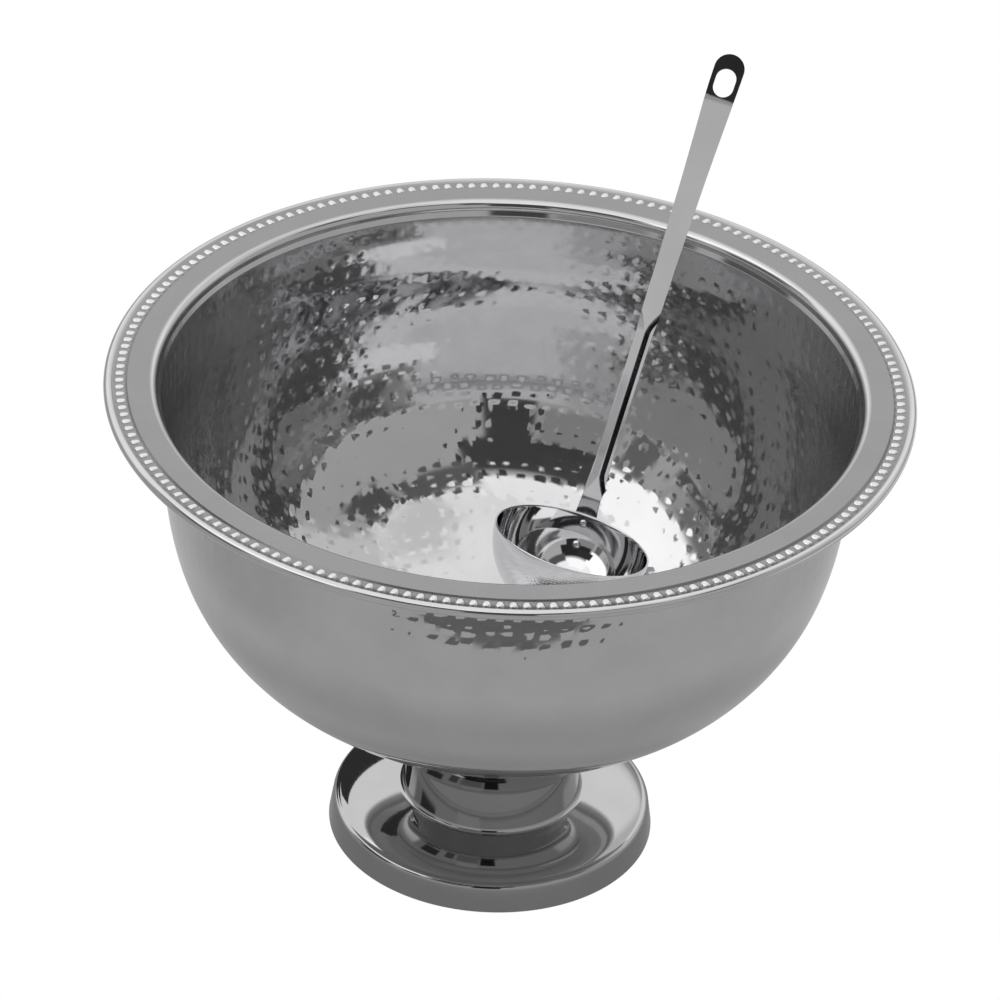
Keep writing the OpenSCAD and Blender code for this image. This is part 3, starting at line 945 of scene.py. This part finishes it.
def dome_grid(azimuths, elevations):
    """Azimuth and elevation of each point of a dome of radius 1, and the points and quads."""
    az, el = (grid.ravel() for grid in np.meshgrid(azimuths, elevations))
    x, y = heading(az)
    flat = np.cos(np.radians(el))
    points = np.c_[x * flat, y * flat, np.sin(np.radians(el))]
    return az, el, points, grid_faces(len(elevations), len(azimuths))


def studio_mesh(name, points, faces, material, mirrored, glow=None):
    """A surface of the studio, which is either mirrored by the metal or seen by the camera."""
    mesh = bpy.data.meshes.new(name)
    mesh.from_pydata(points.tolist(), [], faces.tolist())
    if glow is not None:
        mesh.attributes.new("glow", "FLOAT", "POINT").data.foreach_set("value", glow.astype(np.float32))
    mesh.materials.append(material)
    obj = bpy.data.objects.new(name, mesh)
    bpy.context.scene.collection.objects.link(obj)
    obj.visible_camera = not mirrored
    for kind in ("glossy", "diffuse", "transmission"):
        setattr(obj, "visible_" + kind, mirrored)
    obj.visible_shadow = obj.visible_volume_scatter = False
    return obj


def glowing(name, strength=1.0, by_point=False, one_sided=False):
    """A plain light. by_point takes its strength from the mesh, one_sided is clear from behind."""
    material = bpy.data.materials.new(name)
    material.use_nodes = True
    nodes, links = material.node_tree.nodes, material.node_tree.links
    nodes.clear()
    light = nodes.new("ShaderNodeEmission")
    out = nodes.new("ShaderNodeOutputMaterial")
    light.inputs["Strength"].default_value = strength
    surface = light.outputs[0]
    if by_point:
        glow = nodes.new("ShaderNodeAttribute")
        glow.attribute_name = "glow"
        links.new(glow.outputs["Fac"], light.inputs["Strength"])
    if one_sided:
        side = nodes.new("ShaderNodeNewGeometry")
        clear = nodes.new("ShaderNodeBsdfTransparent")
        mix = nodes.new("ShaderNodeMixShader")
        links.new(side.outputs["Backfacing"], mix.inputs[0])
        links.new(surface, mix.inputs[1])
        links.new(clear.outputs[0], mix.inputs[2])
        surface = mix.outputs[0]
    links.new(surface, out.inputs[0])
    return material


def tent():
    """The dome that the metal mirrors, its light worked out at each point from the panels."""
    az, el, points, faces = dome_grid(np.arange(-180, 181, 1.0), np.arange(0, 91, 1.0))
    ceiling = smooth(el, CEILING_FROM - CEILING_SOFT / 2, CEILING_FROM + CEILING_SOFT / 2)
    glow = WALL_GLOW + (CEILING_GLOW - WALL_GLOW) * ceiling
    # a panel's upright edges stay equally soft as the dome narrows
    narrowing = np.maximum(np.cos(np.radians(el)), 0.2)
    for _, az0, az1, el0, el1, soft, value in TENT_PANELS:
        part = turned_into(az, az0, az1, soft / narrowing) * inside(el, el0, el1, soft)
        glow += (value - glow) * part
    studio_mesh("tent", TENT_R * points, faces, glowing("tent_light", by_point=True),
                mirrored=True, glow=glow)


def reflected_floor():
    """The floor that the metal mirrors, lighter and darker in patches of painted light and shade, with the
    bowl's painted shadow under it and at its foot.
    """
    radii = np.r_[0.001, np.arange(0.02, 0.4, 0.02), np.arange(0.4, 1.3, 0.05),
                  np.arange(1.3, 5.1, 0.4), TENT_R]
    azimuths = np.arange(-180, 181, 3.0)
    az, r = (grid.ravel() for grid in np.meshgrid(azimuths, radii))
    glow = np.full_like(az, FLOOR_GLOW)
    for _, az0, az1, r0, r1, soft, value in FLOOR_PATCHES:
        # a patch that starts in the middle has no soft edge there
        start = r0 if r0 > 0 else -soft
        part = turned_into(az, az0, az1, FLOOR_SIDE_SOFT) * inside(r, start, r1, soft)
        glow += (value - glow) * part
    x, y = heading(az)
    studio_mesh("floor_reflected", np.c_[x * r, y * r, np.full_like(r, FLOOR_Z)],
                grid_faces(len(radii), len(azimuths)), glowing("floor_light", by_point=True),
                mirrored=True, glow=glow)


def low_cards():
    """Small dark cards below the rim, so only the foot and the outside of the bowl mirror them: painted shade
    on the foot and under the front rim.
    """
    for name, az0, az1, r, z0, z1, glow in LOW_CARDS:
        x, y = heading(np.linspace(az0, az1, CARD_COLUMNS))
        bottom = z0 + (z1 - z0) * CARD_TAPER * np.linspace(-1, 1, CARD_COLUMNS) ** 2
        top = np.full(CARD_COLUMNS, z1)
        points = np.vstack([np.c_[x * r, y * r, bottom], np.c_[x * r, y * r, top]])
        studio_mesh("card " + name, points, grid_faces(2, CARD_COLUMNS),
                    glowing("card " + name, glow), mirrored=True)


def seen_backdrop():
    """A white floor that is clear from below, and a white shell round everything."""
    x, y = heading(np.arange(0, 360, 6))
    ring = np.c_[SEEN_FLOOR_R * x, SEEN_FLOOR_R * y, np.full(len(x), FLOOR_Z)]
    studio_mesh("floor", ring, np.arange(len(x))[None], glowing("floor_white", one_sided=True),
                mirrored=False)
    _, _, points, faces = dome_grid(np.arange(0, 361, 10.0), np.arange(-90, 91, 10.0))
    studio_mesh("backdrop", SEEN_SHELL_R * points, faces, glowing("backdrop_white"),
                mirrored=False)


def faint_world():
    world = bpy.data.worlds.new("studio")
    bpy.context.scene.world = world
    world.use_nodes = True
    background = world.node_tree.nodes["Background"]
    background.inputs["Color"].default_value = (AMBIENT, AMBIENT, AMBIENT, 1)
    background.inputs["Strength"].default_value = 1.0


tent()
reflected_floor()
low_cards()
seen_backdrop()
faint_world()
